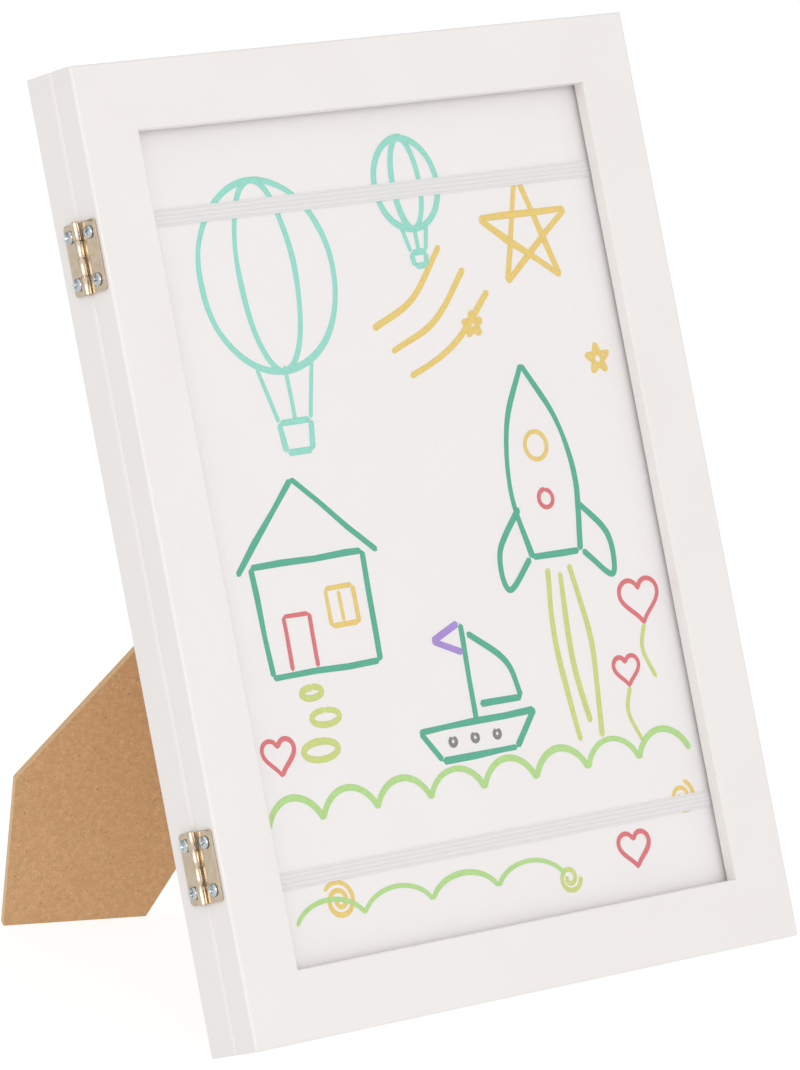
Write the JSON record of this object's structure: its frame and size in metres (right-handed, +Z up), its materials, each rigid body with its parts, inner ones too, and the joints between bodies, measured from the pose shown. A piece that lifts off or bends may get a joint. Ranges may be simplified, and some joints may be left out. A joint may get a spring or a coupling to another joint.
{
  "type": "childrens art frame",
  "caption": "Upright picture frame with a glazed door hinged at the side, a shallow box behind it that stores drawings under elastic bands, and a folding diagonal strut.",
  "frame": {"origin": "bottom centre of the object's box, on the surface that the frame stands on", "axes": "+Z up, +X to the viewer's right along the frame's width, +Y from the front towards the strut behind"},
  "size_m": [0.2514, 0.2034, 0.3263],
  "materials": {
    "white_paint": "white satin paint on wood",
    "mdf": "bare medium density fibreboard",
    "paper": "matt drawing paper",
    "elastic": "flat ribbed white elastic",
    "clear_pane": "clear acrylic",
    "nickel": "warm nickel plate",
    "zinc": "bright zinc plate",
    "steel": "plain steel",
    "magnet": "grey ferrite"
  },
  "bodies": {
    "box": {"box_top_rail": "white_paint", "box_bottom_rail": "white_paint", "box_left_stile": "white_paint", "box_right_stile": "white_paint", "back_panel": "mdf", "stored_sheets": "paper", "artwork_sheet": "paper", "upper_band": "elastic", "lower_band": "elastic", "upper_band_staple_left": "steel", "upper_band_staple_right": "steel", "lower_band_staple_left": "steel", "lower_band_staple_right": "steel", "panel_staple_top": "steel", "panel_staple_bottom": "steel", "panel_staple_left": "steel", "panel_staple_right": "steel", "upper_hinge_box_leaf": "nickel", "lower_hinge_box_leaf": "nickel", "upper_hinge_pin": "nickel", "lower_hinge_pin": "nickel", "upper_hinge_box_screw_top": "zinc", "upper_hinge_box_screw_bottom": "zinc", "lower_hinge_box_screw_top": "zinc", "lower_hinge_box_screw_bottom": "zinc", "upper_catch_magnet": "magnet", "lower_catch_magnet": "magnet", "portrait_hanger": "steel", "portrait_hanger_nail_first": "steel", "portrait_hanger_nail_second": "steel", "landscape_hanger": "steel", "landscape_hanger_nail_first": "steel", "landscape_hanger_nail_second": "steel", "strut_hinge_fixed_leaf": "nickel", "strut_hinge_pin": "nickel", "fixed_leaf_rivet_left": "zinc", "fixed_leaf_rivet_right": "zinc"},
    "door": {"door_top_rail": "white_paint", "door_bottom_rail": "white_paint", "door_left_stile": "white_paint", "door_right_stile": "white_paint", "pane": "clear_pane", "glazing_tab_top": "steel", "glazing_tab_bottom": "steel", "glazing_tab_left": "steel", "glazing_tab_right": "steel", "upper_hinge_door_leaf": "nickel", "lower_hinge_door_leaf": "nickel", "upper_hinge_door_screw_top": "zinc", "upper_hinge_door_screw_bottom": "zinc", "lower_hinge_door_screw_top": "zinc", "lower_hinge_door_screw_bottom": "zinc", "upper_strike_disc": "steel", "lower_strike_disc": "steel"},
    "strut": {"strut_board": "mdf", "strut_hinge_moving_leaf": "nickel", "moving_leaf_rivet_left": "zinc", "moving_leaf_rivet_right": "zinc"}
  },
  "joints": [
    {"name": "door_swing", "type": "hinge", "parent": "box", "child": "door", "pos_m": [-0.1241, -0.03816, 0.16376], "axis": [0, -0.3173, -0.9483], "range_deg": [0, 160]},
    {"name": "strut_swing", "type": "hinge", "parent": "box", "child": "strut", "pos_m": [0.0322, -0.00959, 0.20281], "axis": [-0.8387, 0.1728, 0.5165], "range_deg": [0, 41.2]}
  ]
}
